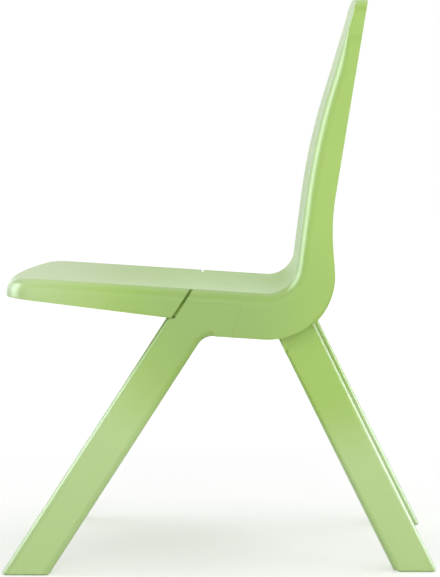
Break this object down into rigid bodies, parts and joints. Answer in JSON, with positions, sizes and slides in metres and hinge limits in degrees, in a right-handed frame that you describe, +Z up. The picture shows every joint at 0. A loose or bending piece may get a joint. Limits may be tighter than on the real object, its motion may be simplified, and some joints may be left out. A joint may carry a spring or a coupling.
{
  "type": "kids chair",
  "caption": "Low child's side chair in moulded plastic: seat and back in one dished shell with rounded rims and side skirts, on flat splayed legs with push-in glides.",
  "frame": {"origin": "on the floor, under the middle of the overall width and depth", "axes": "+Z up; the chair faces -Y, so the back is towards +Y; +X is the sitter's left"},
  "size_m": [0.32, 0.3886, 0.5095],
  "materials": {
    "shell_plastic": "satin lime-green polypropylene with a fine moulded grain",
    "leg_plastic": "satin lime-green polypropylene with a fine moulded grain",
    "glide_rubber": "soft dull green rubber",
    "screw_steel": "zinc-plated steel"
  },
  "bodies": {
    "root": {"seat_shell": "shell_plastic", "front_leg_left": "leg_plastic", "front_leg_right": "leg_plastic", "rear_leg_left": "leg_plastic", "rear_leg_right": "leg_plastic", "front_glide_left": "glide_rubber", "front_glide_right": "glide_rubber", "rear_glide_left": "glide_rubber", "rear_glide_right": "glide_rubber", "front_leg_screws": "screw_steel", "rear_leg_screws": "screw_steel"}
  },
  "joints": []
}
